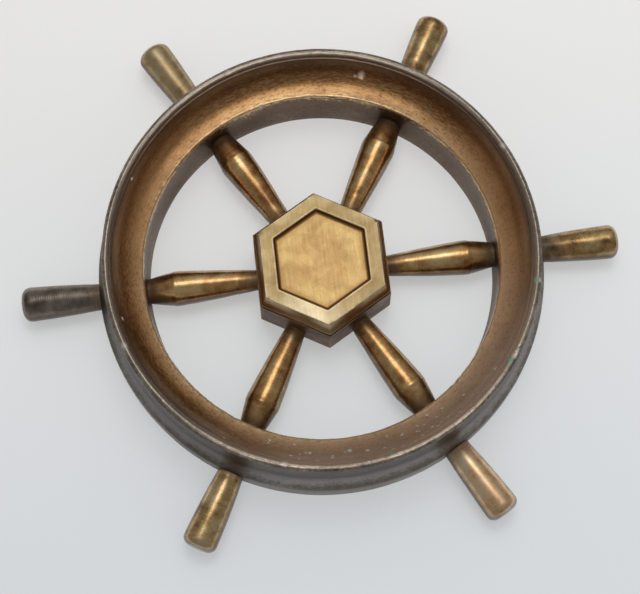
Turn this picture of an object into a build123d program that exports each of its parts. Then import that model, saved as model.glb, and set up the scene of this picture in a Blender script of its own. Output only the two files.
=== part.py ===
"""Six-spoked brass ship steering wheel, desk size, lying on its back.

Frame: millimetres, +Z up along the wheel's axis, origin at the centre of the rim's foot
plane, +X along the first spoke.  Spokes and handles stand every 60 degrees.

How it goes together: six tie rods screw into a hexagonal hub.  On each rod a turned spoke
is clamped between the hub and the inside of the rim, and a turned handle is screwed on
outside the rim.  The hub turns on a flanged pivot sleeve, held by a washer and a screw
that a hexagonal cap covers.
"""
import os

from build123d import *

# --- the wheel as a whole -----------------------------------------------------------------
SPOKE_COUNT = 6
SPOKE_Z = 4.5                        # height of the spoke and handle axes above the foot
PIN_GAP = 0.05                       # radial gap of a pin or spigot in its hole
END_GAP = 0.02                       # gap at the end of a spoke or handle in its seat

# --- rim: a cast ring, coved inside and flared to a foot outside ---------------------------
RIM_HEIGHT = 22.6
BORE_FOOT_R = 41.7                   # inner wall at the foot
BORE_TOP_R = 42.1                    # inner wall at the sharp edge under the cove
BORE_TOP_Z = 13.3
COVE_END_R = 48.6                    # upper end of the cove, under a narrow bevel
COVE_END_Z = 21.1
COVE_SAG = 1.3                       # depth of the cove under its chord
BEAD_IN_R = 49.0                     # inner side of the lip's bead
BEAD_IN_Z = 21.4
LIP_R = 50.0                         # crest of the lip
BEAD_OUT_R = 51.0                    # outer side of the lip's bead
BEAD_OUT_Z = 21.8
WALL_FOOT_R = 51.2                   # outer wall where the flare begins
WALL_FOOT_Z = 13.0
CREASE_R = 53.25                     # crease between the flare and the foot band
CREASE_Z = 8.4
FOOT_R = 53.9                        # widest place of the rounded foot band
FOOT_WIDE_Z = 4.8
FOOT_EDGE_R = 53.2                   # lower edge of the foot band
FOOT_BREAK = 0.35                    # broken edges of the foot
SPOKE_SEAT_X = 42.5                  # radial place of the seat for a spoke's end
HANDLE_SEAT_X = 51.8                 # radial place of the seat for a handle's end

# --- spokes -------------------------------------------------------------------------------
SPOKE_ROOT_X = 13.4                  # inner end, in the hub's socket
SPOKE_ROOT_R = 2.5
SPOKE_ROOT_END_X = 16.2              # the straight root ends just outside the hub
SPOKE_SWELL_X = 25.0
SPOKE_SWELL_R = 3.46
SHOULDER_X = 33.6                    # the swell starts to turn over
SHOULDER_R = 4.12
SHOULDER_TOP_X = 34.9                # thickest place
SHOULDER_TOP_R = 4.17
SHOULDER_END_X = 36.2
SHOULDER_END_R = 4.02
SPOKE_TIP_X = 41.2                   # the straight tip starts just inside the rim
SPOKE_TIP_R = 3.05
SPOKE_TIP_BREAK = 0.25

# --- handles ------------------------------------------------------------------------------
HANDLE_ROOT_R = 3.2
HANDLE_ROOT_END_X = 54.2             # the straight root ends just outside the rim
HANDLE_SWELL_X = 62.0
HANDLE_SWELL_R = 3.78
HANDLE_END_X = 70.2                  # the end's rounding starts
HANDLE_END_R = 4.12
HANDLE_FACE_X = 72.05                 # rim of the nearly flat end face
HANDLE_FACE_R = 2.35
HANDLE_TIP_X = 72.25                 # crown of the end face

# --- tie rods -----------------------------------------------------------------------------
ROD_R = 1.3
ROD_START_X = 8.6
ROD_END_X = 61.5
ROD_CHAMFER = 0.3
ROD_END_SPARE = 0.6                  # depth of a blind rod hole past the rod's end

# --- hub ----------------------------------------------------------------------------------
HUB_SIDES = 6
HUB_TURN = 30                        # degrees; the spokes leave the middles of the flats
HUB_FOOT_Z = 1.5
HUB_CORNER_R = 18.1                  # across-corner radius at the foot
HUB_DRAFT = 1.0                      # casting draft of the body's sides, degrees
HUB_FOOT_BREAK = 0.3
HUB_SPLIT_Z = 12.2                   # parting line between body and cap
CAP_TOP_Z = 16.6
CAP_FOOT_FLAT = 15.2                 # half the width across flats at the parting line
CAP_TOP_FLAT = 14.12                 # half the width across flats of the top face
CAP_STRIP = 0.9                      # upright strip under the cap's cove
CAP_EDGE = 0.45                      # upright strip above the cove
CAP_COVE_SAG = 0.42
CAP_EDGE_BREAK = 0.12
REGISTER_R = 7.1                     # round register that centres the cap in the pocket
REGISTER_H = 0.3
RECESS_CORNER_R = 12.4
RECESS_DEPTH = 1.3
RECESS_TAPER = 30                    # slope of the recess's side walls, degrees
RECESS_FLOOR_ROUND = 0.5

# --- cap screws, from the back, midway between the spokes ----------------------------------
CAP_SCREW_COUNT = 3
CAP_SCREW_RING_R = 12.0
CAP_SCREW_TURN = 30                  # degrees
CAP_SCREW_R = 1.25
CAP_SCREW_HEAD_R = 2.3
CAP_SCREW_HEAD_H = 1.2
CAP_SCREW_HEAD_TAPER = 40            # slope of the countersunk head, degrees
CAP_SCREW_SINK = 0.1                 # the heads lie this far inside the hub's foot face
CAP_SCREW_TOP_Z = 14.4
CAP_SCREW_HOLE_TOP_Z = 14.8
CAP_SCREW_SLOT_W = 0.6
CAP_SCREW_SLOT_D = 0.5

# --- pivot --------------------------------------------------------------------------------
FLANGE_R = 9.0
FLANGE_T = 0.9
FLANGE_BREAK = 0.2
BARREL_R = 5.0
BARREL_TOP_Z = 9.1
BARREL_BREAK = 0.25
THREAD_R = 2.0                       # M4 mounting thread, blind, from the back
THREAD_DEPTH = 5.4
THRUST_R = 8.5
THRUST_T = 0.5
HUB_SHOULDER_Z = 9.0                 # step in the hub's bore, under the retaining washer
HUB_POCKET_R = 7.2
RETAINER_R = 6.8
RETAINER_T = 0.7
PIVOT_SCREW_R = 1.45
PIVOT_SCREW_HOLE_Z = 6.1             # bottom of the screw's hole in the sleeve
PIVOT_SCREW_END_Z = 6.4
PIVOT_SCREW_HEAD_R = 2.75
PIVOT_SCREW_HEAD_H = 1.8
PIVOT_SCREW_KEY_R = 1.45             # corner radius of the hexagonal key hole
PIVOT_SCREW_KEY_D = 1.1

ROD_HOLE_R = ROD_R + PIN_GAP
HUB_SOCKET_R = SPOKE_ROOT_R + PIN_GAP
OVERRUN = 2.0                        # how far a cut runs past the surface it opens


def outward(angle):
    """The unit vector that points out from the axis at this angle."""
    return Vector(1, 0, 0).rotate(Axis.Z, angle)


def spoke_axis(angle):
    """The axis on which a spoke, its handle and its tie rod are turned."""
    return Axis((0, 0, SPOKE_Z), outward(angle))


def cross_plane(angle, distance):
    """A plane square to a spoke axis, this far out, with its normal pointing outward."""
    origin = outward(angle) * distance + Vector(0, 0, SPOKE_Z)
    return Plane(origin=origin, x_dir=(0, 0, 1), z_dir=outward(angle))


def lengthwise_plane(angle):
    """The upright plane through a spoke axis: local x runs outward, local y up."""
    sideways = outward(angle).cross(Vector(0, 0, 1))
    return Plane(origin=(0, 0, SPOKE_Z), x_dir=outward(angle), z_dir=sideways)


def save(piece, name):
    """Label a finished piece and write it to its own file."""
    piece.part.label = name
    export_step(piece.part, f"parts/{name}.step")


def make_rim(angles):
    """The ring: straight bore, cove, bevel, beaded lip, upright wall, flare and foot band."""
    bore_top = Vector(BORE_TOP_R, BORE_TOP_Z)
    cove_end = Vector(COVE_END_R, COVE_END_Z)
    chord = cove_end - bore_top
    cove_middle = bore_top + chord * 0.5 + Vector(chord.Y, -chord.X).normalized() * COVE_SAG
    bead_in = (BEAD_IN_R, BEAD_IN_Z)
    bead_out = (BEAD_OUT_R, BEAD_OUT_Z)
    wall_foot = (WALL_FOOT_R, WALL_FOOT_Z)
    crease = (CREASE_R, CREASE_Z)
    foot_edge = (FOOT_EDGE_R, FOOT_BREAK)
    with BuildPart() as rim:
        with BuildSketch(Plane.XZ):
            with BuildLine():
                Line((BORE_FOOT_R, FOOT_BREAK), bore_top)
                ThreePointArc(bore_top, cove_middle, cove_end)
                Line(cove_end, bead_in)
                ThreePointArc(bead_in, (LIP_R, RIM_HEIGHT), bead_out)
                Line(bead_out, wall_foot)
                TangentArc(wall_foot, crease, tangent=(0, -1))
                Spline(crease, (FOOT_R, FOOT_WIDE_Z), foot_edge)
                Line(foot_edge, (FOOT_EDGE_R - FOOT_BREAK, 0))
                Line((FOOT_EDGE_R - FOOT_BREAK, 0), (BORE_FOOT_R + FOOT_BREAK, 0))
                Line((BORE_FOOT_R + FOOT_BREAK, 0), (BORE_FOOT_R, FOOT_BREAK))
            make_face()
        revolve(axis=Axis.Z)
        for angle in angles:
            with BuildSketch(cross_plane(angle, SPOKE_SEAT_X)):
                Circle(SPOKE_TIP_R + PIN_GAP)
            extrude(amount=BORE_FOOT_R - SPOKE_SEAT_X - OVERRUN, mode=Mode.SUBTRACT)
            with BuildSketch(cross_plane(angle, HANDLE_SEAT_X)):
                Circle(HANDLE_ROOT_R + PIN_GAP)
            extrude(amount=FOOT_R - HANDLE_SEAT_X + OVERRUN, mode=Mode.SUBTRACT)
            with BuildSketch(cross_plane(angle, BORE_FOOT_R)):
                Circle(ROD_HOLE_R)
            extrude(amount=HANDLE_SEAT_X - BORE_FOOT_R, mode=Mode.SUBTRACT)
    save(rim, "rim")


def make_spoke(angle, name):
    """A turned baluster: a long swell, a rounded shoulder, then a short taper to the rim."""
    end_x = SPOKE_SEAT_X - END_GAP
    root_end = (SPOKE_ROOT_END_X, SPOKE_ROOT_R)
    shoulder_start = (SHOULDER_X, SHOULDER_R)
    shoulder_end = (SHOULDER_END_X, SHOULDER_END_R)
    with BuildPart() as spoke:
        with BuildSketch(lengthwise_plane(angle)):
            with BuildLine():
                Line((SPOKE_ROOT_X, ROD_HOLE_R), (SPOKE_ROOT_X, SPOKE_ROOT_R))
                Line((SPOKE_ROOT_X, SPOKE_ROOT_R), root_end)
                ThreePointArc(root_end, (SPOKE_SWELL_X, SPOKE_SWELL_R), shoulder_start)
                ThreePointArc(shoulder_start, (SHOULDER_TOP_X, SHOULDER_TOP_R), shoulder_end)
                Line(shoulder_end, (SPOKE_TIP_X, SPOKE_TIP_R))
                Line((SPOKE_TIP_X, SPOKE_TIP_R), (end_x - SPOKE_TIP_BREAK, SPOKE_TIP_R))
                Line((end_x - SPOKE_TIP_BREAK, SPOKE_TIP_R), (end_x, SPOKE_TIP_R - SPOKE_TIP_BREAK))
                Line((end_x, SPOKE_TIP_R - SPOKE_TIP_BREAK), (end_x, ROD_HOLE_R))
                Line((end_x, ROD_HOLE_R), (SPOKE_ROOT_X, ROD_HOLE_R))
            make_face()
        revolve(axis=spoke_axis(angle))
    save(spoke, name)


def make_handle(angle, name):
    """A turned grip that widens to a well-rounded, nearly flat end."""
    root_x = HANDLE_SEAT_X + END_GAP
    root_end = (HANDLE_ROOT_END_X, HANDLE_ROOT_R)
    grip_end = (HANDLE_END_X, HANDLE_END_R)
    face_rim = (HANDLE_FACE_X, HANDLE_FACE_R)
    hole_end_x = ROD_END_X + ROD_END_SPARE
    with BuildPart() as handle:
        with BuildSketch(lengthwise_plane(angle)):
            with BuildLine():
                Line((root_x, ROD_HOLE_R), (root_x, HANDLE_ROOT_R))
                Line((root_x, HANDLE_ROOT_R), root_end)
                ThreePointArc(root_end, (HANDLE_SWELL_X, HANDLE_SWELL_R), grip_end)
                TangentArc(grip_end, face_rim, tangent=(1, 0))
                Line(face_rim, (HANDLE_TIP_X, 0))
                Line((HANDLE_TIP_X, 0), (hole_end_x, 0))
                Line((hole_end_x, 0), (hole_end_x, ROD_HOLE_R))
                Line((hole_end_x, ROD_HOLE_R), (root_x, ROD_HOLE_R))
            make_face()
        revolve(axis=spoke_axis(angle))
    save(handle, name)


def make_tie_rod(angle, name):
    """A plain round rod that runs from the hub through the spoke and rim into the handle."""
    with BuildPart() as rod:
        with BuildSketch(cross_plane(angle, ROD_START_X)):
            Circle(ROD_R)
        extrude(amount=ROD_END_X - ROD_START_X)
        chamfer(rod.edges().filter_by(GeomType.CIRCLE), length=ROD_CHAMFER)
    save(rod, name)


def screw_places():
    """The places of the cap screws round the hub."""
    return PolarLocations(CAP_SCREW_RING_R, CAP_SCREW_COUNT, start_angle=CAP_SCREW_TURN)


def make_hub_body(angles):
    """The hexagonal body: a stepped bore for the pivot, six sockets and three screw holes."""
    head_z = HUB_FOOT_Z + CAP_SCREW_SINK
    with BuildPart() as hub:
        with BuildSketch(Plane.XY.offset(HUB_FOOT_Z)):
            RegularPolygon(HUB_CORNER_R, HUB_SIDES, rotation=HUB_TURN)
        extrude(amount=HUB_SPLIT_Z - HUB_FOOT_Z, taper=HUB_DRAFT)
        foot_face = hub.faces().sort_by(Axis.Z)[0]
        chamfer(foot_face.edges(), length=HUB_FOOT_BREAK)
        with BuildSketch(Plane.XY.offset(HUB_FOOT_Z)):
            Circle(BARREL_R + PIN_GAP)
        extrude(amount=HUB_SPLIT_Z - HUB_FOOT_Z, mode=Mode.SUBTRACT)
        with BuildSketch(Plane.XY.offset(HUB_SHOULDER_Z)):
            Circle(HUB_POCKET_R)
        extrude(amount=HUB_SPLIT_Z - HUB_SHOULDER_Z, mode=Mode.SUBTRACT)
        for angle in angles:
            with BuildSketch(cross_plane(angle, SPOKE_ROOT_X - END_GAP)):
                Circle(HUB_SOCKET_R)
            extrude(amount=HUB_CORNER_R - SPOKE_ROOT_X, mode=Mode.SUBTRACT)
            with BuildSketch(cross_plane(angle, ROD_START_X - ROD_END_SPARE)):
                Circle(ROD_HOLE_R)
            extrude(amount=SPOKE_ROOT_X - ROD_START_X + ROD_END_SPARE, mode=Mode.SUBTRACT)
        with BuildSketch(Plane.XY.offset(HUB_FOOT_Z)):
            with screw_places():
                Circle(CAP_SCREW_R + PIN_GAP)
        extrude(amount=HUB_SPLIT_Z - HUB_FOOT_Z, mode=Mode.SUBTRACT)
        with BuildSketch(Plane.XY.offset(HUB_FOOT_Z)):
            with screw_places():
                Circle(CAP_SCREW_HEAD_R + 2 * PIN_GAP)
        extrude(amount=CAP_SCREW_SINK, mode=Mode.SUBTRACT)
        with BuildSketch(Plane.XY.offset(head_z)):
            with screw_places():
                Circle(CAP_SCREW_HEAD_R + 2 * PIN_GAP)
        extrude(amount=CAP_SCREW_HEAD_H, taper=CAP_SCREW_HEAD_TAPER, mode=Mode.SUBTRACT)
    save(hub, "hub_body")


def make_hub_cap():
    """The hexagonal cap: coved sides, and a sunk hexagonal panel in the top."""
    half_length = HUB_CORNER_R
    cove_foot = Vector(CAP_FOOT_FLAT, HUB_SPLIT_Z + CAP_STRIP)
    cove_top = Vector(CAP_TOP_FLAT, CAP_TOP_Z - CAP_EDGE)
    cove_chord = cove_top - cove_foot
    hollow = Vector(-cove_chord.Y, cove_chord.X).normalized() * CAP_COVE_SAG
    cove_middle = cove_foot + cove_chord * 0.5 + hollow
    with BuildPart() as cap:
        with BuildSketch(Plane.XY.offset(HUB_SPLIT_Z)):
            Circle(HUB_CORNER_R)
        extrude(amount=CAP_TOP_Z - HUB_SPLIT_Z)
        # Three long coved bars, crossed at 60 degrees, leave the hexagon with mitred corners.
        for turn in range(HUB_SIDES // 2):
            flat_plane = Plane(
                origin=(0, 0, 0),
                x_dir=outward(turn * 360 / HUB_SIDES),
                z_dir=outward(turn * 360 / HUB_SIDES).cross(Vector(0, 0, 1)),
            )
            with BuildSketch(flat_plane):
                with BuildLine():
                    Line((0, HUB_SPLIT_Z), (CAP_FOOT_FLAT, HUB_SPLIT_Z))
                    Line((CAP_FOOT_FLAT, HUB_SPLIT_Z), cove_foot)
                    ThreePointArc(cove_foot, cove_middle, cove_top)
                    Line(cove_top, (CAP_TOP_FLAT, CAP_TOP_Z))
                    Line((CAP_TOP_FLAT, CAP_TOP_Z), (0, CAP_TOP_Z))
                    Line((0, CAP_TOP_Z), (0, HUB_SPLIT_Z))
                make_face()
                mirror(about=Plane.YZ)
            extrude(amount=half_length, both=True, mode=Mode.INTERSECT)
        top_face = cap.faces().sort_by(Axis.Z)[-1]
        chamfer(top_face.edges(), length=CAP_EDGE_BREAK)
        with BuildSketch(Plane.XY.offset(CAP_TOP_Z)):
            RegularPolygon(RECESS_CORNER_R, HUB_SIDES, rotation=HUB_TURN)
        extrude(amount=-RECESS_DEPTH, taper=RECESS_TAPER, mode=Mode.SUBTRACT)
        panel = cap.faces().filter_by_position(
            Axis.Z, CAP_TOP_Z - RECESS_DEPTH - END_GAP, CAP_TOP_Z - RECESS_DEPTH + END_GAP
        )
        fillet(panel.edges(), radius=RECESS_FLOOR_ROUND)
        with BuildSketch(Plane.XY.offset(HUB_SPLIT_Z)):
            Circle(REGISTER_R)
        extrude(amount=-REGISTER_H)
        with BuildSketch(Plane.XY.offset(HUB_SPLIT_Z)):
            with screw_places():
                Circle(CAP_SCREW_R + PIN_GAP)
        extrude(amount=CAP_SCREW_HOLE_TOP_Z - HUB_SPLIT_Z, mode=Mode.SUBTRACT)
    save(cap, "hub_cap")


def make_cap_screws():
    """Three slotted countersunk screws that hold the cap from the back of the hub."""
    head_z = HUB_FOOT_Z + CAP_SCREW_SINK
    with BuildPart() as screws:
        with BuildSketch(Plane.XY.offset(head_z)):
            with screw_places():
                Circle(CAP_SCREW_R)
        extrude(amount=CAP_SCREW_TOP_Z - head_z)
        with BuildSketch(Plane.XY.offset(head_z)):
            with screw_places():
                Circle(CAP_SCREW_HEAD_R)
        extrude(amount=CAP_SCREW_HEAD_H, taper=CAP_SCREW_HEAD_TAPER)
        with BuildSketch(Plane.XY.offset(head_z)):
            with screw_places():
                Rectangle(2 * CAP_SCREW_HEAD_R, CAP_SCREW_SLOT_W)
        extrude(amount=CAP_SCREW_SLOT_D, mode=Mode.SUBTRACT)
    save(screws, "cap_screws")


def make_pivot_sleeve():
    """The flanged sleeve on which the hub turns, with a thread at the back and a screw hole on top."""
    with BuildPart() as sleeve:
        with BuildSketch(Plane.XY):
            Circle(FLANGE_R)
        extrude(amount=FLANGE_T)
        chamfer(sleeve.edges().sort_by(Axis.Z)[0], length=FLANGE_BREAK)
        with BuildSketch(Plane.XY.offset(FLANGE_T)):
            Circle(BARREL_R)
        extrude(amount=BARREL_TOP_Z - FLANGE_T)
        chamfer(sleeve.edges().sort_by(Axis.Z)[-1], length=BARREL_BREAK)
        with BuildSketch(Plane.XY):
            Circle(THREAD_R)
        extrude(amount=THREAD_DEPTH, mode=Mode.SUBTRACT)
        with BuildSketch(Plane.XY.offset(PIVOT_SCREW_HOLE_Z)):
            Circle(PIVOT_SCREW_R + PIN_GAP)
        extrude(amount=BARREL_TOP_Z - PIVOT_SCREW_HOLE_Z, mode=Mode.SUBTRACT)
    save(sleeve, "pivot_sleeve")


def make_washer(name, outer_r, inner_r, bottom_z, thickness):
    """A flat ring that lies square to the wheel's axis."""
    with BuildPart() as washer:
        with BuildSketch(Plane.XY.offset(bottom_z)):
            Circle(outer_r)
            Circle(inner_r, mode=Mode.SUBTRACT)
        extrude(amount=thickness)
    save(washer, name)


def make_retaining_screw():
    """The cylinder-headed screw in the top of the pivot sleeve."""
    seat_z = BARREL_TOP_Z + RETAINER_T
    head_top_z = seat_z + PIVOT_SCREW_HEAD_H
    with BuildPart() as screw:
        with BuildSketch(Plane.XY.offset(PIVOT_SCREW_END_Z)):
            Circle(PIVOT_SCREW_R)
        extrude(amount=seat_z - PIVOT_SCREW_END_Z)
        with BuildSketch(Plane.XY.offset(seat_z)):
            Circle(PIVOT_SCREW_HEAD_R)
        extrude(amount=PIVOT_SCREW_HEAD_H)
        with BuildSketch(Plane.XY.offset(head_top_z)):
            RegularPolygon(PIVOT_SCREW_KEY_R, HUB_SIDES)
        extrude(amount=-PIVOT_SCREW_KEY_D, mode=Mode.SUBTRACT)
    save(screw, "retaining_screw")


def main():
    """Make every piece of the wheel and write each one to parts/."""
    os.makedirs("parts", exist_ok=True)
    angles = [index * 360 / SPOKE_COUNT for index in range(SPOKE_COUNT)]
    make_rim(angles)
    for number, angle in enumerate(angles, start=1):
        make_spoke(angle, f"spoke_{number}")
        make_handle(angle, f"handle_{number}")
        make_tie_rod(angle, f"tie_rod_{number}")
    make_hub_body(angles)
    make_hub_cap()
    make_cap_screws()
    make_pivot_sleeve()
    make_washer("thrust_washer", THRUST_R, BARREL_R + PIN_GAP, FLANGE_T, THRUST_T)
    make_washer("retaining_washer", RETAINER_R, PIVOT_SCREW_R + PIN_GAP, BARREL_TOP_Z, RETAINER_T)
    make_retaining_screw()


main()
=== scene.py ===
import random
from math import cos, degrees, pi, radians, sin

import bmesh
import bpy
from mathutils import Matrix, Vector, noise


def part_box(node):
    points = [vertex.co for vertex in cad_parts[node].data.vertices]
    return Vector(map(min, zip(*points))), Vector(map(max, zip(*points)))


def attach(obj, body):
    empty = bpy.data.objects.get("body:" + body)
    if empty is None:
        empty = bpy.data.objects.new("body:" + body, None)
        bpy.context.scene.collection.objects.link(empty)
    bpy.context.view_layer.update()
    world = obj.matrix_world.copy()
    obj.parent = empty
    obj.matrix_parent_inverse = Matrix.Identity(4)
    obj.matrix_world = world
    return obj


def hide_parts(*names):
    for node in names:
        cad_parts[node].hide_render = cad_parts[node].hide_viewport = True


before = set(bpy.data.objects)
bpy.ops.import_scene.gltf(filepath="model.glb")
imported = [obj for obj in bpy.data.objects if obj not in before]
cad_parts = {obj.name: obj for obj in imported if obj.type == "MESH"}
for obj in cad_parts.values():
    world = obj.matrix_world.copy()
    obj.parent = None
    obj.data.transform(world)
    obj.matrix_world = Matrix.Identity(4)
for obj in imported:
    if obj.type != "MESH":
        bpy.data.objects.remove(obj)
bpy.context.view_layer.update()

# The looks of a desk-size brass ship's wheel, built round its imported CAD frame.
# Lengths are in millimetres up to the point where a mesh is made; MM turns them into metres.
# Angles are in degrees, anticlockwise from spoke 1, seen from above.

MM = 0.001
SPOKE_Z = sum(corner.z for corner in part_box("tie_rod_1")) / 2 / MM
RIM_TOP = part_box("rim")[1].z / MM
CAP_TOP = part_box("hub_cap")[1].z / MM
SPOKES = 6
SPOKE_STEP = 360 / SPOKES


# --- camera, light and floor -----------------------------------------------------------------

CAMERA_TURN = 7.27          # degrees; where the viewer stands round the wheel
CAMERA_TILT = 15.24         # degrees away from straight above
CAMERA_ROLL = 0.79
CAMERA_DISTANCE = 0.380     # metres
CAMERA_ASIDE = (-0.00029, -0.00476)
CAMERA_LENS = 87.67         # millimetres, on a sensor 36 mm wide
WARM_WHITE = (1.0, 0.985, 0.95)
SKY_LEAN = 30               # degrees; how far the brightest part of the studio is from overhead
SKY_STEPS = [               # cosine of the angle from that part, brightness
    (0.0, 0.21), (0.42, 0.24), (0.60, 0.26), (0.71, 0.23),
    (0.83, 0.29), (0.90, 0.38), (0.966, 0.52), (1.0, 0.70),
]
FLOOR_SIZE = 6              # metres
FLOOR_NEAR = -0.07          # metres; the floor's tint changes from here to FLOOR_FAR
FLOOR_FAR = 0.07
# Painted light: the floor is painted darker and bluer towards the viewer, as a falloff of its
# light.
FLOOR_NEAR_SHADED_TINT = (0.745, 0.785, 0.835)
FLOOR_FAR_LIT_TINT = (0.85, 0.855, 0.86)
FLOOR_STAIN = (0.7, 0.7, 0.7)


def leaning(lean, azimuth):
    """A direction this far from overhead. Azimuth 90 is away from the viewer, 0 is right."""
    lean, spin = radians(lean), radians(azimuth - CAMERA_TURN)
    return Vector((sin(lean) * cos(spin), sin(lean) * sin(spin), cos(lean)))


def add_camera():
    camera = bpy.data.cameras.new("camera")
    camera.lens = CAMERA_LENS
    camera.sensor_width = 36
    holder = bpy.data.objects.new("camera", camera)
    bpy.context.scene.collection.objects.link(holder)
    tilt = radians(CAMERA_TILT)
    place = Vector((0, -sin(tilt), cos(tilt))) * CAMERA_DISTANCE + Vector((*CAMERA_ASIDE, 0))
    turn = Matrix.Rotation(radians(-CAMERA_TURN), 4, "Z")
    look = Matrix.Rotation(tilt, 4, "X") @ Matrix.Rotation(radians(CAMERA_ROLL), 4, "Z")
    holder.matrix_world = turn @ Matrix.Translation(place) @ look
    bpy.context.scene.camera = holder


def add_softbox(name, azimuth, lean, size, radiance, distance=0.8, only=None):
    """An area light over the wheel. Sizes and distances are in metres.

    A softbox with only set lights that one object and is shaded by nothing else.
    """
    lamp = bpy.data.lights.new(name, "AREA")
    lamp.shape = "RECTANGLE"
    lamp.size, lamp.size_y = size
    lamp.energy = radiance * pi * size[0] * size[1]
    lamp.color = WARM_WHITE
    holder = bpy.data.objects.new(name, lamp)
    bpy.context.scene.collection.objects.link(holder)
    out = leaning(lean, azimuth)
    holder.location = out * distance
    holder.rotation_euler = out.to_track_quat("Z", "Y").to_euler()
    if only:
        receivers = bpy.data.collections.new(name)
        receivers.objects.link(only)
        holder.light_linking.receiver_collection = receivers
        holder.light_linking.blocker_collection = receivers


def add_world():
    """A plain studio: pale overhead and a little beyond, dim at the horizon."""
    world = bpy.data.worlds.new("studio")
    world.use_nodes = True
    tree = world.node_tree
    place = tree.nodes.new("ShaderNodeTexCoord")
    toward = tree.nodes.new("ShaderNodeVectorMath")
    toward.operation = "DOT_PRODUCT"
    toward.inputs[1].default_value = leaning(SKY_LEAN, 90)
    ramp = tree.nodes.new("ShaderNodeValToRGB")
    tree.links.new(place.outputs["Generated"], toward.inputs[0])
    tree.links.new(toward.outputs["Value"], ramp.inputs[0])
    tree.links.new(ramp.outputs["Color"], tree.nodes["Background"].inputs["Color"])
    set_ramp(ramp, SKY_STEPS)
    bpy.context.scene.world = world
    bpy.context.scene.view_settings.view_transform = "Standard"


def add_floor():
    bpy.ops.mesh.primitive_plane_add(size=FLOOR_SIZE)
    floor = bpy.context.object
    floor.name = "floor"
    look = Look("floor_cloth", Roughness=0.75)
    cloud = look.noise(look.place, 9, detail=3)
    # Painted light: darker and bluer towards the viewer.
    away = look.remap(look.split(look.place)[1], FLOOR_NEAR, FLOOR_FAR)
    colour = look.mix(away, FLOOR_NEAR_SHADED_TINT, FLOOR_FAR_LIT_TINT)
    look.colour(look.mix(look.remap(cloud, 0.35, 0.65, 0.0, 0.03), colour, FLOOR_STAIN))
    floor.data.materials.append(look.material)
    return floor


# --- node materials --------------------------------------------------------------------------

def srgb(red, green, blue):
    """A colour given as 0 to 255 on a screen, as the linear values that shaders take."""
    return tuple(((level / 255 + 0.055) / 1.055) ** 2.4 for level in (red, green, blue))


def set_ramp(ramp, stops):
    """Fill a colour ramp. A stop is a position and either a colour or a grey level."""
    elements = ramp.color_ramp.elements
    while len(elements) < len(stops):
        elements.new(0.5)
    for element, (position, colour) in zip(elements, stops):
        element.position = position
        element.color = (*colour, 1) if isinstance(colour, tuple) else (colour, colour, colour, 1)


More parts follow.
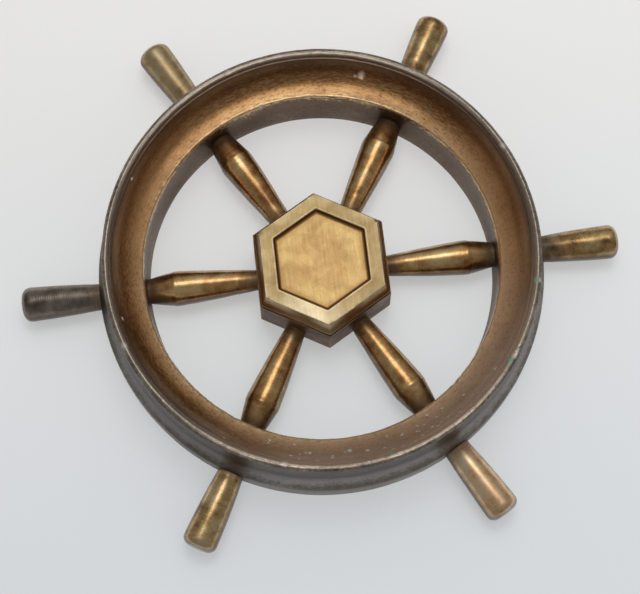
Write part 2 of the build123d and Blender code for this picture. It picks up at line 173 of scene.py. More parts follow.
class Look:
    """A node material, wired in short lines. Numbers and sockets go in alike."""

    def __init__(self, name, **shader):
        self.material = bpy.data.materials.new(name)
        self.material.use_nodes = True
        self.tree = self.material.node_tree
        self.shader = self.tree.nodes["Principled BSDF"]
        for socket, value in shader.items():
            self.shader.inputs[socket].default_value = value
        self.place = self.node("TexCoord").outputs["Object"]

    def feed(self, socket, value):
        if isinstance(value, bpy.types.NodeSocket):
            self.tree.links.new(value, socket)
        else:
            socket.default_value = value

    def node(self, kind, inputs=(), **settings):
        made = self.tree.nodes.new("ShaderNode" + kind)
        for setting, value in settings.items():
            setattr(made, setting, value)
        for socket, value in dict(inputs).items():
            self.feed(made.inputs[socket], value)
        return made

    def math(self, operation, first, second):
        return self.node("Math", {0: first, 1: second}, operation=operation).outputs[0]

    def both(self, first, second):
        """One 0 to 1 pattern where the other is too."""
        return self.math("MULTIPLY", first, second)

    def measure(self, operation, first, second=(0, 0, 0)):
        """A vector operation that gives one number."""
        made = self.node("VectorMath", {0: first, 1: second}, operation=operation)
        return made.outputs["Value"]

    def split(self, vector):
        return self.node("SeparateXYZ", {0: vector}).outputs

    def flat(self):
        """The place with its height left out, and the three parts of the place."""
        parts = self.split(self.place)
        return self.node("CombineXYZ", {0: parts[0], 1: parts[1]}).outputs[0], parts

    def direction(self, vector):
        return self.node("VectorMath", {0: vector}, operation="NORMALIZE").outputs[0]

    def noise(self, vector, scale, detail=2.0, roughness=0.5, distortion=0.0):
        inputs = {"Vector": vector, "Scale": scale, "Detail": detail,
                  "Roughness": roughness, "Distortion": distortion}
        return self.node("TexNoise", inputs).outputs["Fac"]

    def remap(self, value, low, high, to_low=0.0, to_high=1.0):
        inputs = {0: value, 1: low, 2: high, 3: to_low, 4: to_high}
        return self.node("MapRange", inputs).outputs[0]

    def ramp(self, value, stops):
        ramp = self.node("ValToRGB", {0: value})
        set_ramp(ramp, stops)
        return ramp.outputs["Color"]

    def mix(self, amount, first, second, blend="MIX"):
        plain = [(*c, 1) if isinstance(c, tuple) else c for c in (first, second)]
        inputs = {0: amount, 6: plain[0], 7: plain[1]}
        return self.node("Mix", inputs, data_type="RGBA", blend_type=blend).outputs[2]

    def attribute(self, name):
        return self.node("Attribute", attribute_name=name).outputs["Fac"]

    def blend_in(self, value, extra, amount):
        """The value, moved up and down by a 0 to 1 pattern."""
        swing = self.math("MULTIPLY", self.math("SUBTRACT", extra, 0.5), amount)
        return self.math("ADD", value, swing)

    def polar(self, around, across, up):
        """A place measured round the wheel, out from its axis and up, each to its own scale."""
        flat, parts = self.flat()
        heading = self.node("VectorMath", {0: self.direction(flat), "Scale": around},
                            operation="SCALE").outputs[0]
        out = self.math("MULTIPLY", self.measure("LENGTH", flat), across)
        lift = self.math("ADD", out, self.math("MULTIPLY", parts[2], up))
        lift = self.node("CombineXYZ", {2: lift}).outputs[0]
        return self.node("VectorMath", {0: heading, 1: lift}, operation="ADD").outputs[0]

    def distance(self, spot):
        """The distance from a spot given in millimetres, itself in metres."""
        return self.measure("DISTANCE", self.place, spot * MM)

    def toward(self, angle):
        """From -1 to 1: how far round the wheel a place lies towards this angle."""
        aim = (cos(radians(angle)), sin(radians(angle)), 0)
        return self.measure("DOT_PRODUCT", self.direction(self.flat()[0]), aim)

    def normal(self):
        return self.node("NewGeometry").outputs["Normal"]

    def worn_edges(self, radius):
        """From 0 on a flat face to 1 on an edge sharper than this radius, in millimetres."""
        soft = self.node("Bevel", {"Radius": radius * MM}, samples=4).outputs[0]
        likeness = self.measure("DOT_PRODUCT", soft, self.normal())
        return self.remap(likeness, 0.995, 0.90)

    def colour(self, value):
        self.feed(self.shader.inputs["Base Color"], value)

    def roughness(self, value):
        self.feed(self.shader.inputs["Roughness"], value)

    def metallic(self, value):
        self.feed(self.shader.inputs["Metallic"], value)

    def bump(self, *layers):
        """Each layer is a height pattern, its strength and its depth in millimetres."""
        normal = None
        for height, strength, depth in layers:
            inputs = {"Height": height, "Strength": strength, "Distance": depth * MM}
            if normal:
                inputs["Normal"] = normal
            normal = self.node("Bump", inputs).outputs[0]
        self.feed(self.shader.inputs["Normal"], normal)


# --- meshes ----------------------------------------------------------------------------------

def on_wheel(angle, out, high):
    """A point at this angle, this far out from the wheel's axis and this high."""
    return Vector((out * cos(radians(angle)), out * sin(radians(angle)), high))


def trace(stations):
    """Points along an outline. A station is (x, y, bulge to the next, steps, mark).

    The bulge is the height of the bow between two stations, to the left of the way. The mark,
    from 0 to 1, says where along the outline a material takes its colour.
    """
    points = []
    for (x, y, bulge, steps, mark), after in zip(stations, stations[1:]):
        start, end = Vector((x, y)), Vector(after[:2])
        way = end - start
        left = Vector((-way.y, way.x)).normalized()
        for step in range(steps):
            t = step / steps
            point = start + way * t + left * (bulge * 4 * t * (1 - t))
            points.append((point.x, point.y, mark + (after[4] - mark) * t))
    x, y, _, _, mark = stations[-1]
    points.append((x, y, mark))
    return points


def skin(name, rings, marks, closed, pale=None):
    """A smooth mesh over rings of points: closed joins the last ring to the first."""
    count = len(rings[0])
    points = [point * MM for ring in rings for point in ring]
    faces, face_marks = [], []
    spans = len(rings) if closed else len(rings) - 1
    for ring in range(spans):
        after = (ring + 1) % len(rings)
        for index in range(count):
            beside = (index + 1) % count
            faces.append((ring * count + index, ring * count + beside,
                          after * count + beside, after * count + index))
            face_marks.extend((marks[ring], marks[ring], marks[ring + 1], marks[ring + 1]))
    if not closed:
        for ring in (0, len(rings) - 1):
            points.append(sum(rings[ring], Vector((0, 0, 0))) / count * MM)
            for index in range(count):
                beside = (index + 1) % count
                faces.append((ring * count + index, ring * count + beside, len(points) - 1))
                face_marks.extend([marks[ring]] * 3)
    mesh = bpy.data.meshes.new(name)
    mesh.from_pydata(points, [], faces)
    along = mesh.attributes.new("along", "FLOAT", "CORNER")
    along.data.foreach_set("value", face_marks)
    if pale:
        spots = mesh.attributes.new("pale", "FLOAT", "POINT")
        spots.data.foreach_set("value", pale)
    work = bmesh.new()
    work.from_mesh(mesh)
    bmesh.ops.recalc_face_normals(work, faces=work.faces)
    work.to_mesh(mesh)
    work.free()
    mesh.shade_smooth()
    piece = bpy.data.objects.new(name, mesh)
    bpy.context.scene.collection.objects.link(piece)
    return piece


def dress(piece, look, slot, *nodes):
    """Give a new piece its material and its body, and hide the CAD nodes that it stands for."""
    piece.data.materials.append(look.material)
    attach(piece, "wheel")
    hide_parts(*nodes)


def ripple(point, size, depth):
    """A gentle unevenness: waves about this size, up to this depth, both in millimetres."""
    return noise.noise(point / size) * depth


def bowl(gap, reach):
    """How deep a dent is at this distance from its centre: 1 there, and 0 at its rim."""
    return (1 - (gap / reach) ** 2) ** 2


# --- rim -------------------------------------------------------------------------------------

RIM_SEGMENTS = 1080
RIM_OUTLINE = [                             # from the axis, height
    (41.70, 0.35, 0.0, 6, 0.00),            # bore
    (42.07, 12.95, 0.02, 4, 0.10),          # worn edge of the bore
    (42.32, 13.56, -1.27, 34, 0.14),        # cove
    (48.60, 21.10, 0.0, 3, 0.50),           # bevel
    (49.00, 21.40, 0.20, 7, 0.54),          # inside of the bead
    (50.00, RIM_TOP - 0.05, 0.17, 7, 0.59),  # outside of the bead
    (51.00, 21.75, 0.0, 8, 0.64),           # wall
    (51.20, 13.00, -0.42, 9, 0.78),         # flare
    (53.25, 8.40, 0.20, 8, 0.86),           # foot band
    (53.20, 0.35, 0.05, 2, 0.95),           # broken edge of the foot
    (52.85, 0.00, 0.0, 2, 0.97),            # underside
    (42.05, 0.00, 0.05, 2, 1.00),           # broken edge of the bore's foot
    (41.70, 0.35, 0.0, 1, 1.00),
]
BORE_RADIUS = 41.70
FOOT_RADIUS = 53.20
BORE_EDGE = (0.09, 0.16)                    # marks between which the bore's edge is rough
BEAD = (0.53, 0.66)                         # marks between which the bead is uneven
# A dent is (angle, mark, radius, depth).
RIM_DENTS = [
    (71.8, 0.36, 1.5, 0.32), (73.6, 0.34, 0.7, 0.12), (324.0, 0.60, 1.3, 0.22),
    (346.0, 0.62, 1.1, 0.18), (254.0, 0.59, 1.4, 0.10), (110.0, 0.59, 1.2, 0.12),
    (200.0, 0.60, 1.5, 0.12), (25.0, 0.59, 1.4, 0.12), (104.0, 0.12, 1.1, 0.16),
    (88.0, 0.12, 0.9, 0.12), (235.0, 0.12, 1.0, 0.12), (310.0, 0.12, 1.2, 0.14),
    (172.0, 0.80, 1.8, 0.12), (217.0, 0.93, 1.6, 0.18), (32.0, 0.92, 1.8, 0.16),
]
DENT_PALENESS = 0.35
LARGEST_DENT_ANGLE = 3.2                    # degrees round the rim that a dent can reach
# A pit is a small pale dent, (angle, mark), in the cove.
RIM_PITS = [
    (151.0, 0.47), (192.0, 0.46), (236.5, 0.47), (254.9, 0.36), (257.4, 0.42), (260.1, 0.29),
    (262.3, 0.45), (266.4, 0.36), (271.5, 0.28), (276.4, 0.32), (283.0, 0.45), (285.7, 0.48),
    (289.0, 0.49), (291.8, 0.43), (295.6, 0.37), (296.8, 0.43), (303.7, 0.48), (319.4, 0.42),
]
PIT_SEED = 7
COVE_PITS = 26
LIP_PITS = 14
LIP_MARK = 0.59
# A spot of verdigris is (angle, mark, radius).
VERDIGRIS = [(345.7, 0.585, 1.1), (322.4, 0.58, 1.0), (281.8, 0.56, 0.9)]
# Dirt and painted shade where the spokes and handles meet the rim.
DIRTY_SHADED_JOINTS = [(BORE_RADIUS, 5.6), (FOOT_RADIUS, 5.2)]     # distance from the axis, reach
# The cove is lighter round these angles: rubbed brass and painted light.
RUBBED_AND_LIT_ANGLES = [(148, 0.50), (5, 0.70)]                   # angle, amount
DUSTY_ANGLE = 293
# Painted shade: the middle of the cove is darkened round this angle.
SHADED_COVE_ANGLE = 100
# Painted shade: the outer wall is darkened round this angle.
SHADED_WALL_ANGLE = 205

RIM_COLOURS = [
    (0.00, srgb(124, 106, 92)), (0.05, srgb(99, 79, 61)), (0.093, srgb(104, 79, 57)),
    (0.115, srgb(255, 226, 184)), (0.15, srgb(255, 212, 162)), (0.20, srgb(242, 188, 132)),
    (0.26, srgb(190, 139, 92)), (0.31, srgb(174, 128, 82)), (0.38, srgb(144, 107, 72)),
    (0.50, srgb(124, 97, 74)), (0.545, srgb(148, 130, 114)), (0.585, srgb(192, 180, 166)),
    (0.61, srgb(156, 141, 124)), (0.65, srgb(80, 73, 65)), (0.76, srgb(96, 90, 83)),
    (0.82, srgb(150, 145, 141)), (0.86, srgb(118, 110, 102)), (0.90, srgb(128, 120, 111)),
    (0.95, srgb(118, 108, 98)), (1.00, srgb(150, 124, 84)),
]
RIM_ROUGHNESS = [
    (0.0, 0.55), (0.12, 0.34), (0.30, 0.34), (0.50, 0.42),
    (0.58, 0.33), (0.66, 0.44), (0.86, 0.38), (1.0, 0.5),
]
BRIGHT_FLECK = srgb(240, 196, 140)
DARK_FLECK = srgb(98, 69, 45)
# Rubbed brass and painted light in the cove.
RUBBED_AND_LIT_BRASS = srgb(230, 176, 124)
# Painted shade that dims the cove's reflection.
COVE_PAINTED_SHADE = srgb(204, 202, 198)
DUST = srgb(190, 158, 131)
CLOUDED = srgb(96, 72, 50)
PORES = srgb(74, 52, 36)
# Painted shade on the outer wall.
WALL_PAINTED_SHADE = srgb(50, 46, 40)
BARE_PIT = srgb(218, 212, 204)
VERDIGRIS_GREEN = srgb(124, 168, 144)
# Dirt and painted shade at the joints.
JOINT_DIRT_AND_SHADE = srgb(66, 46, 32)


def rim_pits():
    """The larger pits, and finer ones strewn over the lower half of the cove and the lip."""
    draw = random.Random(PIT_SEED)
    pits = []
    for angle, mark in RIM_PITS:
        pits.append((angle, mark, draw.uniform(0.55, 0.75), draw.uniform(0.10, 0.16)))
    for _ in range(COVE_PITS):
        angle, mark = draw.gauss(280, 22), draw.uniform(0.20, 0.49)
        pits.append((angle, mark, draw.uniform(0.30, 0.42), draw.uniform(0.05, 0.09)))
    for _ in range(LIP_PITS):
        pits.append((draw.uniform(215, 345), LIP_MARK, draw.uniform(0.28, 0.42), 0.08))
    return pits


def rim_spot(angle, mark):
    """A point on the rim's surface."""
    out, high, _ = min(trace(RIM_OUTLINE), key=lambda point: abs(point[2] - mark))
    return on_wheel(angle, out, high)


def make_rim():
    outline = trace(RIM_OUTLINE)[:-1]
    marks = [mark for _, _, mark in outline] + [1.0]
    size = len(outline)
    slopes = []
    for index in range(size):
        before, after = outline[index - 1], outline[(index + 1) % size]
        slopes.append(Vector((after[1] - before[1], before[0] - after[0])).normalized())
    dents = [(rim_spot(angle, mark), angle, reach, depth, paleness)
             for paleness, group in ((DENT_PALENESS, RIM_DENTS), (1.0, rim_pits()))
             for angle, mark, reach, depth in group]
    rings = [[] for _ in outline]
    pale = [0.0] * (size * RIM_SEGMENTS)
    for segment in range(RIM_SEGMENTS):
        angle = segment * 360 / RIM_SEGMENTS
        heading = on_wheel(angle, 1, 0)
        near = [dent for dent in dents
                if abs((angle - dent[1] + 180) % 360 - 180) < LARGEST_DENT_ANGLE]
        for index, (out, high, mark) in enumerate(outline):
            point = heading * out + Vector((0, 0, high))
            push = ripple(point, 11, 0.05)
            if BORE_EDGE[0] < mark < BORE_EDGE[1]:
                push += ripple(point, 0.9, 0.07) - 0.02
            elif BEAD[0] < mark < BEAD[1]:
                push += ripple(point, 2.2, 0.04)
            place = index * RIM_SEGMENTS + segment
            for centre, _, reach, depth, paleness in near:
                gap = (point - centre).length
                if gap < reach:
                    push += depth * bowl(gap, reach)
                    pale[place] = max(pale[place], bowl(gap, reach) * paleness)
            slope = slopes[index]
            point += (heading * slope.x + Vector((0, 0, slope.y))) * push
            point.z = min(max(point.z, 0.0), RIM_TOP)
            rings[index].append(point)
    return skin("rim_ring", rings, marks, True, pale)


def rim_look():
    look = Look("aged_rim_brass", Metallic=1.0)
    cloud = look.noise(look.place, 70, detail=4, roughness=0.6)
    grain = look.noise(look.place, 1500, detail=3, roughness=0.65)
    streak = look.noise(look.polar(34, 3000, 3000), 1.0, detail=3, roughness=0.65)
    rings = look.noise(look.polar(3, 4200, 4200), 1.0)
    along = look.attribute("along")

    uneven = look.blend_in(look.blend_in(along, cloud, 0.07),
                           look.blend_in(grain, streak, 1.2), 0.06)
    colour = look.ramp(uneven, RIM_COLOURS)
    cove = look.both(look.remap(along, 0.105, 0.14), look.remap(along, 0.50, 0.30))
    bright = look.both(cove, look.remap(streak, 0.50, 0.64, 0.0, 0.65))
    colour = look.mix(bright, colour, BRIGHT_FLECK)
    dark = look.both(cove, look.remap(streak, 0.49, 0.36, 0.0, 0.6))
    colour = look.mix(dark, colour, DARK_FLECK)
    # Rubbed brass and painted light: the cove is lightened round these angles.
    for angle, amount in RUBBED_AND_LIT_ANGLES:
        rubbed_and_lit = look.both(look.remap(look.toward(angle), 0.80, 0.97, 0.0, amount), cove)
        colour = look.mix(rubbed_and_lit, colour, RUBBED_AND_LIT_BRASS)
    # Painted shade: the middle of the cove is darkened round this angle, to dim its reflection.
    brown = look.both(look.remap(look.toward(SHADED_COVE_ANGLE), 0.55, 0.80),
                      look.remap(along, 0.34, 0.27))
    brown = look.both(brown, look.remap(along, 0.14, 0.18))
    colour = look.mix(brown, colour, COVE_PAINTED_SHADE, "MULTIPLY")
    dusty = look.both(look.remap(look.toward(DUSTY_ANGLE), 0.35, 0.85),
                      look.remap(along, 0.05, 0.25))
    dusty = look.both(dusty, look.remap(along, 0.60, 0.56, 0.0, 0.92))
    colour = look.mix(dusty, colour, DUST)
    colour = look.mix(look.remap(cloud, 0.35, 0.75, 0.0, 0.30), colour, CLOUDED, "MULTIPLY")
    colour = look.mix(look.remap(grain, 0.56, 0.72, 0.0, 0.45), colour, PORES)
    # Painted shade: the outer wall is darkened round this angle, to dim its reflection.
    painted_wall_shade = look.both(look.remap(look.toward(SHADED_WALL_ANGLE), 0.55, 0.95, 0.0, 0.40),
                      look.remap(along, 0.62, 0.66))
    colour = look.mix(painted_wall_shade, colour, WALL_PAINTED_SHADE)
    pale = look.remap(look.attribute("pale"), 0.06, 0.45, 0.0, 0.95)
    colour = look.mix(pale, colour, BARE_PIT)
    dull = look.math("MAXIMUM", pale, look.both(dusty, 0.9))
    for angle, mark, radius in VERDIGRIS:
        gap, reach = look.distance(rim_spot(angle, mark)), radius * MM
        green = look.blend_in(look.remap(gap, reach, 0.4 * reach), grain, 0.8)
        green = look.both(look.remap(green, 0.3, 0.8), look.remap(gap, reach, 0.8 * reach))
        colour = look.mix(green, colour, VERDIGRIS_GREEN)
        dull = look.math("MAXIMUM", dull, green)
    # Dirt and painted shade round each joint of a spoke or handle with the rim.
    for spoke in range(SPOKES):
        for out, radius in DIRTY_SHADED_JOINTS:
            gap = look.distance(on_wheel(spoke * SPOKE_STEP, out, SPOKE_Z))
            gap, reach = look.blend_in(gap, cloud, 3 * MM), radius * MM
            dirt_and_shade = look.remap(gap, reach, 0.6 * reach, 0.0, 0.75)
            colour = look.mix(dirt_and_shade, colour, JOINT_DIRT_AND_SHADE)

    look.colour(colour)
    look.metallic(look.remap(dull, 0.0, 1.0, 1.0, 0.0))
    rough = look.blend_in(look.ramp(along, RIM_ROUGHNESS), cloud, 0.16)
    look.roughness(look.blend_in(rough, grain, 0.22))
    look.bump((cloud, 0.35, 0.25), (streak, 0.45, 0.05), (grain, 0.40, 0.06),
              (rings, 0.12, 0.02))
    return look


# --- spokes and handles ----------------------------------------------------------------------

TURNED_SEGMENTS = 96
LACQUER = {"Metallic": 1.0, "Coat Weight": 0.35, "Coat Roughness": 0.16}
SPOKE_OUTLINE = [                           # from the wheel's axis, radius
    (13.42, 2.50, 0.0, 6, 0.00),            # root in the hub
    (16.20, 2.50, 0.04, 16, 0.10),          # swell
    (21.00, 3.02, 0.04, 18, 0.28),
    (28.00, 3.72, 0.03, 18, 0.52),
    (33.40, 4.11, 0.04, 8, 0.70),           # shoulder
    (34.90, 4.17, 0.06, 6, 0.75),
    (36.00, 4.05, 0.03, 12, 0.79),          # taper to the rim
    (41.00, 3.09, 0.0, 4, 0.96),
    (41.30, 3.05, 0.0, 4, 0.97),
    (42.45, 3.05, 0.0, 1, 1.00),
]
HANDLE_OUTLINE = [
    (51.85, 3.18, 0.0, 8, 0.00),            # root in the rim
    (54.30, 3.20, 0.05, 26, 0.12),
    (62.00, 3.79, 0.04, 26, 0.50),
    (69.60, 4.11, 0.02, 4, 0.85),           # rounded end
    (70.60, 4.07, 0.14, 7, 0.89),
    (71.75, 3.22, 0.08, 6, 0.93),
    (72.12, 2.20, 0.02, 6, 0.96),           # end face
    (72.22, 0.60, 0.0, 2, 0.99),
    (72.25, 0.06, 0.0, 1, 1.00),
]
GROOVED_HANDLE = 4
GROOVES = (54.5, 69.0, 0.55, 0.045)         # start, end, spacing, depth
GROOVED_OUTLINE = [(out, radius, bulge, steps * 3, mark)
                   for out, radius, bulge, steps, mark in HANDLE_OUTLINE]
WEAR_SHIFT = 31.0                           # sets each piece's unevenness apart from the last
ROOT_FADE = 0.23                            # marks over which the dirt at a root thins out
# Painted shade for the sides that face down.
FLANK_PAINTED_SHADE = srgb(82, 62, 47)
BARE_TIP = srgb(168, 158, 148)


def turned(name, number, outline, grooves=None):
    """A piece turned on a spoke's axis."""
    heading = Matrix.Rotation(radians((number - 1) * SPOKE_STEP), 3, "Z")
    shift = Vector((0, WEAR_SHIFT * number, 0))
    points = trace(outline)
    rings = []
    for out, radius, _ in points:
        ring = []
        if grooves and grooves[0] < out < grooves[1]:
            start, _, spacing, depth = grooves
            radius -= depth * (0.5 - 0.5 * cos((out - start) / spacing * 2 * pi))
        for segment in range(TURNED_SEGMENTS):
            angle = segment * 2 * pi / TURNED_SEGMENTS
            side = Vector((0, cos(angle), sin(angle)))
            point = Vector((out, 0, 0)) + side * radius
            worn = ripple(point + shift, 6.0, 0.035) + ripple(point + shift, 1.7, 0.012)
            ring.append(heading @ (point + side * worn) + Vector((0, 0, SPOKE_Z)))
        rings.append(ring)
    return skin(f"{name}_{number}", rings, [mark for _, _, mark in points], False)


def turned_look(name, ends, body, shade, glint, rough, root=0.26, tip_dirt=None, tip_worn=0.0):
    """Turned brass under an old brown film. Ends, body, shade and glint are its colours.

    Dirt lies up to the mark root. Tip_dirt is the two marks between which it sets in again.
    """
    look = Look(name, **LACQUER)
    along = look.attribute("along")
    cloud = look.noise(look.place, 160, detail=4, roughness=0.6, distortion=0.6)
    blotch = look.noise(look.place, 420, detail=3, roughness=0.6)
    grain = look.noise(look.place, 2200, detail=3, roughness=0.7)
    rings = look.noise(look.polar(4, 3000, 60), 1.0, detail=3, roughness=0.7)

    film = look.blend_in(look.blend_in(cloud, blotch, 0.5), rings, 0.24)
    colour = look.ramp(film, [(0.28, shade), (0.46, body), (0.66, glint)])
    uneven = look.blend_in(look.blend_in(along, blotch, 0.10), rings, 0.08)
    dirt = look.remap(uneven, root, root - ROOT_FADE)
    colour = look.mix(look.both(dirt, 0.75), colour, ends)
    if tip_dirt:
        far_dirt = look.remap(uneven, *tip_dirt)
        colour = look.mix(look.both(far_dirt, 0.85), colour, ends)
        dirt = look.math("ADD", dirt, far_dirt)
    colour = look.mix(look.remap(grain, 0.58, 0.74, 0.0, 0.5), colour, shade)
    # Painted shade: sides that face sideways and down are darkened and made less metallic.
    up = look.split(look.normal())[2]
    shaded_flank = look.remap(look.blend_in(up, blotch, 0.3), 0.72, 0.30, 0.0, 0.92)
    colour = look.mix(shaded_flank, colour, FLANK_PAINTED_SHADE)
    if tip_worn:
        bare = look.blend_in(look.remap(along, 0.86, 0.94, 0.0, tip_worn), blotch, 0.5)
        colour = look.mix(bare, colour, BARE_TIP)

    look.colour(colour)
    worn = look.blend_in(look.blend_in(dirt, blotch, 0.6), grain, 0.4)
    look.roughness(look.remap(worn, -0.2, 1.0, rough, rough + 0.36))
    dull = look.math("ADD", dirt, look.both(shaded_flank, 0.9))
    look.metallic(look.remap(dull, 0.2, 1.0, 0.90, 0.50))
    look.bump((cloud, 0.12, 0.10), (rings, 0.18, 0.025), (grain, 0.25, 0.03))
    return look


# --- hub -------------------------------------------------------------------------------------

CAP_POINTS = 432
CORNER_CROWDING = 0.7                       # how much closer together the points are at a corner
CAP_OUTLINE = [                             # half the width across flats, height
    (0.60, 12.20, 0.0, 6, 0.00),            # underside
    (15.05, 12.20, -0.03, 2, 0.05),
    (15.20, 12.35, 0.0, 4, 0.07),           # upright strip
    (15.20, 13.06, 0.01, 2, 0.12),
    (15.13, 13.14, 0.36, 16, 0.14),         # cove
    (14.14, 16.06, -0.01, 2, 0.32),
    (14.12, 16.16, 0.0, 3, 0.34),           # upright edge
    (14.12, 16.40, -0.06, 5, 0.37),         # rounded over
    (13.92, CAP_TOP, 0.0, 12, 0.40),        # border
    (10.92, CAP_TOP, -0.03, 4, 0.58),       # edge of the recess
    (10.74, 16.42, 0.0, 6, 0.61),
    (10.42, 15.90, 0.08, 7, 0.66),          # soft foot of the recess's wall
    (9.70, 15.70, 0.0, 20, 0.73),           # recess floor
    (0.12, 15.70, 0.0, 1, 1.00),
]
SIDE_MARK = 0.40                            # up to this mark, a hollow goes in towards the axis
UPPER_MARK = 0.30                           # from this mark on, it goes down
RECESS_MARK = 0.60
FLOOR_MARK = 0.70
SLANT = 0.7                                 # share of a hollow's depth that goes each way
SHARPNESS = 130                             # the higher, the sharper the hexagon's corners
RECESS_SHARPNESS = 90
CAP_DENTS = [                               # angle, distance from the axis, height, radius, depth
    (272.0, 16.1, 16.6, 1.0, 0.08), (212.0, 15.9, 16.5, 0.8, 0.05),
    (30.0, 16.1, 16.6, 0.7, 0.12), (300.0, 14.1, 16.5, 0.7, 0.03),
    (246.0, 14.6, 16.5, 0.6, 0.06), (150.0, 15.9, 16.5, 0.8, 0.08),
]
CAP_COLOURS = [
    (0.00, srgb(110, 80, 54)), (0.08, srgb(124, 92, 64)), (0.125, srgb(214, 176, 124)),
    (0.15, srgb(150, 114, 74)), (0.27, srgb(182, 142, 94)), (0.33, srgb(210, 182, 140)),
    (0.385, srgb(222, 208, 180)), (0.41, srgb(158, 139, 102)), (0.56, srgb(152, 130, 92)),
    (0.585, srgb(240, 218, 178)), (0.61, srgb(112, 80, 48)), (0.65, srgb(140, 102, 62)),
    (0.70, srgb(206, 163, 103)), (0.76, srgb(230, 196, 134)), (0.86, srgb(216, 178, 120)),
    (1.00, srgb(198, 163, 113)),
]
CAP_ROUGHNESS = [(0.0, 0.5), (0.30, 0.42), (0.40, 0.30), (0.57, 0.32), (0.72, 0.45), (1.0, 0.38)]
CAP_FILM = srgb(188, 150, 96)
CAP_PORES = srgb(96, 68, 40)
# Painted highlight on the cap's side and border, round this angle.
CAP_PAINTED_HIGHLIGHT = srgb(226, 210, 176)
PAINTED_HIGHLIGHT_ANGLE = 252
SCRATCH_ANGLE = 35
SCRATCH_SCALE = (3600, 160, 400)


def hexagon_radius(angle, flat, sharpness):
    """How far out a hexagon with slightly rounded corners reaches at this angle."""
    reach = sum(max(cos(radians(angle - SPOKE_STEP * side)), 0) ** sharpness
                for side in range(SPOKES))
    return flat / reach ** (1 / sharpness)


def crowded_angles():
    """Angles round the hub, closer together at the corners of the hexagon."""
    for index in range(CAP_POINTS):
        even = index * 360 / CAP_POINTS
        yield even + degrees(CORNER_CROWDING / SPOKES * sin(radians(SPOKES * even)))


def make_cap():
    outline = trace(CAP_OUTLINE)
    angles = list(crowded_angles())
    dents = [(on_wheel(angle, out, high), reach, depth)
             for angle, out, high, reach, depth in CAP_DENTS]
    rings = []
    for flat, high, mark in outline:
        ring = []
        sharpness = SHARPNESS if mark < RECESS_MARK else RECESS_SHARPNESS
        inward = SLANT if mark < SIDE_MARK else 0.0
        down = Vector((0, 0, -SLANT if mark > UPPER_MARK else 0.0))
        for angle in angles:
            heading = on_wheel(angle, 1, 0)
            point = heading * hexagon_radius(angle, flat, sharpness) + Vector((0, 0, high))
            drop = ripple(point, 5.0, 0.035)
            if mark > FLOOR_MARK:
                drop += ripple(point, 2.2, 0.03)
            for centre, reach, depth in dents:
                gap = (point - centre).length
                if gap < reach:
                    drop += depth * bowl(gap, reach)
            ring.append(point + (down - heading * inward) * drop)
        rings.append(ring)
    return skin("hub_cap_plate", rings, [mark for _, _, mark in outline], False)


def cap_look():
    look = Look("worn_cap_brass", Metallic=1.0)
    along = look.attribute("along")
    cloud = look.noise(look.place, 190, detail=4, roughness=0.6, distortion=0.5)
    blotch = look.noise(look.place, 600, detail=3, roughness=0.6)
    grain = look.noise(look.place, 2400, detail=3, roughness=0.7)
    turned_place = look.node("Mapping", {"Vector": look.place, "Scale": SCRATCH_SCALE,
                                         "Rotation": (0, 0, radians(SCRATCH_ANGLE))})
    scratch = look.noise(turned_place.outputs[0], 1.0)

    uneven = look.blend_in(look.blend_in(along, blotch, 0.02), cloud, 0.015)
    colour = look.ramp(uneven, CAP_COLOURS)
    colour = look.mix(look.remap(cloud, 0.40, 0.75, 0.0, 0.35), colour, CAP_FILM, "MULTIPLY")
    colour = look.mix(look.remap(grain, 0.60, 0.76, 0.0, 0.5), colour, CAP_PORES)
    # Painted highlight: the cap's side and border are lightened round this angle.
    painted_highlight = look.both(look.remap(look.toward(PAINTED_HIGHLIGHT_ANGLE), 0.80, 0.98),
                      look.remap(along, 0.62, 0.58))
    colour = look.mix(look.both(painted_highlight, 0.6), colour, CAP_PAINTED_HIGHLIGHT)

    look.colour(colour)
    rough = look.blend_in(look.ramp(along, CAP_ROUGHNESS), cloud, 0.18)
    look.roughness(look.blend_in(rough, scratch, 0.14))
    look.bump((cloud, 0.25, 0.12), (blotch, 0.20, 0.04), (scratch, 0.12, 0.01),
              (grain, 0.30, 0.03))
    return look


# --- pieces that keep their CAD shape ----------------------------------------------------------

def cad_look(name, body, shade, edge, rough, metallic=1.0, turning=0):
    """A machined or cast surface with stains and bright worn edges."""
    look = Look(name, Metallic=metallic)
    cloud = look.noise(look.place, 260, detail=4, roughness=0.6)
    grain = look.noise(look.place, 2600, detail=3, roughness=0.7)
    marks = look.noise(look.polar(2, 3200, turning), 1.0) if turning else grain
    stained = look.remap(look.blend_in(cloud, grain, 0.5), 0.3, 0.7)
    edges = look.both(look.worn_edges(0.35), look.remap(cloud, 0.3, 0.6, 0.4, 1.0))
    look.colour(look.mix(edges, look.mix(stained, shade, body), edge))
    look.roughness(look.blend_in(look.remap(cloud, 0.3, 0.7, rough + 0.12, rough), grain, 0.15))
    look.bump((cloud, 0.15, 0.08), (marks, 0.25, 0.03), (grain, 0.25, 0.02))
    return look


def dress_cad(look, *names):
    for name in names:
        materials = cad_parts[name].data.materials
        materials.clear()
        materials.append(look.material)


# --- the whole object ------------------------------------------------------------------------

add_camera()
add_world()
add_softbox("key_window", azimuth=92, lean=18, size=(0.34, 0.27), radiance=1.9)
add_softbox("floor_wash", azimuth=60, lean=20, size=(1.2, 1.2), radiance=2.4, distance=1.2,
            only=add_floor())

rim = make_rim()
dress(rim, rim_look(), "rim_brass", "rim")
add_softbox("front_fill", azimuth=290, lean=35, size=(1.30, 0.30), radiance=2.1, only=rim)

spoke_brass = turned_look(
    "turned_spoke_brass", ends=srgb(100, 80, 66), body=srgb(198, 152, 94),
    shade=srgb(150, 104, 60), glint=srgb(226, 192, 139), rough=0.18, tip_dirt=(0.80, 1.0))
for number in range(1, SPOKES + 1):
    spoke = turned("spoke_turning", number, SPOKE_OUTLINE)
    dress(spoke, spoke_brass, "turned_brass", f"spoke_{number}")

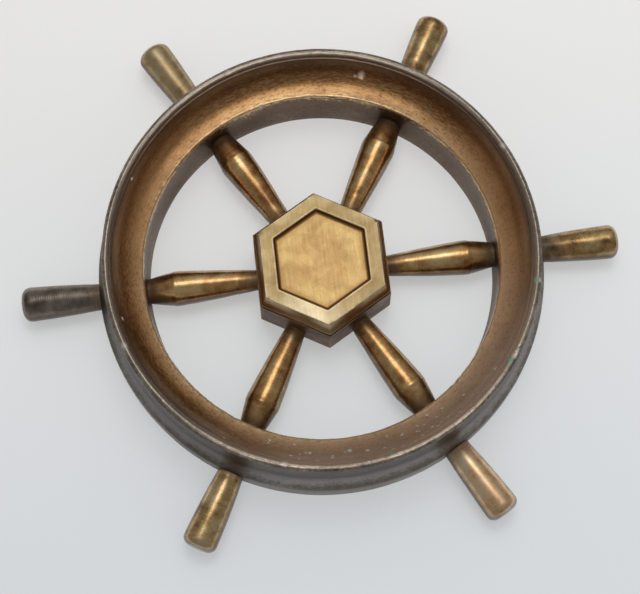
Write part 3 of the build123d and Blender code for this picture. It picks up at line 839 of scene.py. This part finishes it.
glossy = turned_look(
    "glossy_handle_brass", ends=srgb(88, 68, 50), body=srgb(200, 166, 112),
    shade=srgb(130, 98, 60), glint=srgb(232, 204, 160), rough=0.18, root=0.12, tip_worn=0.35)
mottled = turned_look(
    "mottled_handle_brass", ends=srgb(70, 52, 36), body=srgb(176, 138, 84),
    shade=srgb(80, 56, 34), glint=srgb(218, 188, 136), rough=0.20, root=0.37, tip_worn=0.3)
olive = turned_look(
    "olive_handle_brass", ends=srgb(96, 84, 68), body=srgb(194, 164, 116),
    shade=srgb(150, 126, 92), glint=srgb(204, 184, 144), rough=0.32, tip_worn=0.5)
grey = turned_look(
    "grey_handle_brass", ends=srgb(150, 116, 84), body=srgb(126, 116, 103),
    shade=srgb(92, 82, 70), glint=srgb(154, 142, 130), rough=0.32, tip_worn=0.2)
bright = turned_look(
    "bright_handle_brass", ends=srgb(96, 74, 56), body=srgb(242, 199, 152),
    shade=srgb(196, 146, 106), glint=srgb(250, 226, 186), rough=0.25, tip_worn=0.35)
HANDLE_LOOKS = {1: mottled, 2: mottled, 3: olive, 4: grey, 5: glossy, 6: bright}
for number, look in HANDLE_LOOKS.items():
    if number == GROOVED_HANDLE:
        handle = turned("handle_turning", number, GROOVED_OUTLINE, GROOVES)
    else:
        handle = turned("handle_turning", number, HANDLE_OUTLINE)
    dress(handle, look, "handle_brass", f"handle_{number}")

dress(make_cap(), cap_look(), "cap_brass", "hub_cap")

dark_brass = cad_look(
    "dark_hub_brass", body=srgb(118, 82, 52), shade=srgb(76, 50, 32), edge=srgb(176, 138, 92),
    rough=0.42, metallic=0.6)
screw_brass = cad_look(
    "screw_brass", body=srgb(186, 150, 92), shade=srgb(120, 88, 54), edge=srgb(222, 192, 138),
    rough=0.3, turning=200)
sleeve_brass = cad_look(
    "sleeve_brass", body=srgb(196, 160, 100), shade=srgb(140, 106, 64),
    edge=srgb(228, 200, 150), rough=0.28, turning=300)
steel = cad_look(
    "plain_steel", body=srgb(150, 148, 146), shade=srgb(104, 98, 92), edge=srgb(196, 196, 196),
    rough=0.3, turning=400)
dress_cad(dark_brass, "hub_body")
dress_cad(screw_brass, "cap_screws")
dress_cad(sleeve_brass, "pivot_sleeve")
dress_cad(steel, "thrust_washer", "retaining_washer", "retaining_screw",
          *[f"tie_rod_{number}" for number in range(1, SPOKES + 1)])
